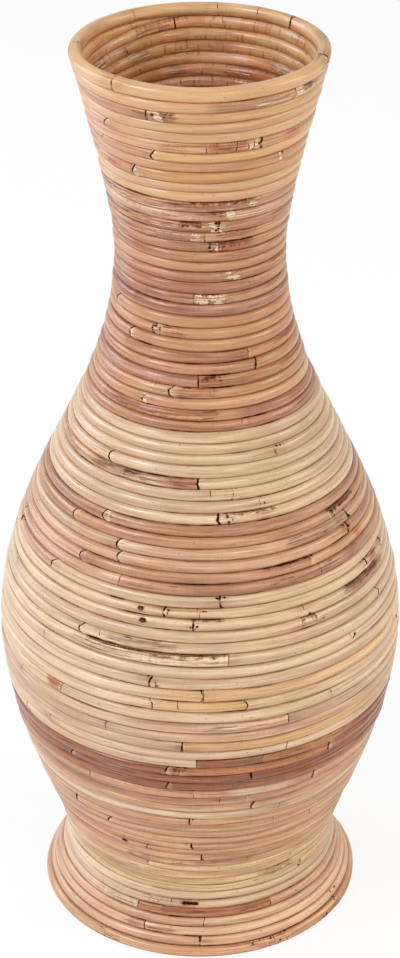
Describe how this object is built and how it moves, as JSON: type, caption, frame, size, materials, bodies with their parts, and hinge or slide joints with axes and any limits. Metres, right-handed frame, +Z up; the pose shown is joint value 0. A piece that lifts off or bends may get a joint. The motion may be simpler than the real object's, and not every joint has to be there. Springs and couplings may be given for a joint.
{
  "type": "rattan vase",
  "caption": "Tall vase wound from round rattan canes in one continuous spiral, with a flared mouth, narrow neck, full belly and spreading foot, for dried stems.",
  "frame": {"origin": "on the floor at the middle of the foot", "axes": "+Z up along the axis of the vase; the side that faces the viewer in the picture faces -Y, and +X is to its right"},
  "size_m": [0.2632, 0.2632, 0.5998],
  "materials": {
    "honey": "semi-gloss natural rattan cane, honey tan",
    "rose": "semi-gloss natural rattan cane, rose brown",
    "mottled": "semi-gloss natural rattan cane, mottled dark brown",
    "straw": "semi-gloss natural rattan cane, pale straw",
    "dusty_rose": "semi-gloss natural rattan cane, dusty rose",
    "umber": "semi-gloss natural rattan cane, dark umber",
    "tan": "semi-gloss natural rattan cane, tan to peach rose",
    "khaki": "semi-gloss natural rattan cane, khaki straw",
    "plywood": "plain matt plywood, hidden inside the foot"
  },
  "bodies": {
    "root": {"rim_cane_front": "honey", "rim_cane_right": "honey", "rim_cane_back": "honey", "rim_cane_left": "honey", "wall_cane_01": "rose", "wall_cane_02": "honey", "wall_cane_03": "honey", "wall_cane_04": "mottled", "wall_cane_05": "rose", "wall_cane_06": "rose", "wall_cane_07": "rose", "wall_cane_08": "honey", "wall_cane_09": "rose", "wall_cane_10": "honey", "wall_cane_11": "rose", "wall_cane_12": "straw", "wall_cane_13": "mottled", "wall_cane_14": "straw", "wall_cane_15": "straw", "wall_cane_16": "dusty_rose", "wall_cane_17": "dusty_rose", "wall_cane_18": "dusty_rose", "wall_cane_19": "straw", "wall_cane_20": "straw", "wall_cane_21": "straw", "wall_cane_22": "straw", "wall_cane_23": "straw", "wall_cane_24": "straw", "wall_cane_25": "umber", "wall_cane_26": "umber", "wall_cane_27": "tan", "wall_cane_28": "straw", "wall_cane_29": "tan", "wall_cane_30": "tan", "wall_cane_31": "tan", "wall_cane_32": "tan", "wall_cane_33": "khaki", "wall_cane_34": "khaki", "wall_cane_35": "umber", "wall_cane_36": "rose", "wall_cane_37": "rose", "wall_cane_38": "rose", "foot_cane": "rose", "base_disc": "plywood"}
  },
  "joints": []
}
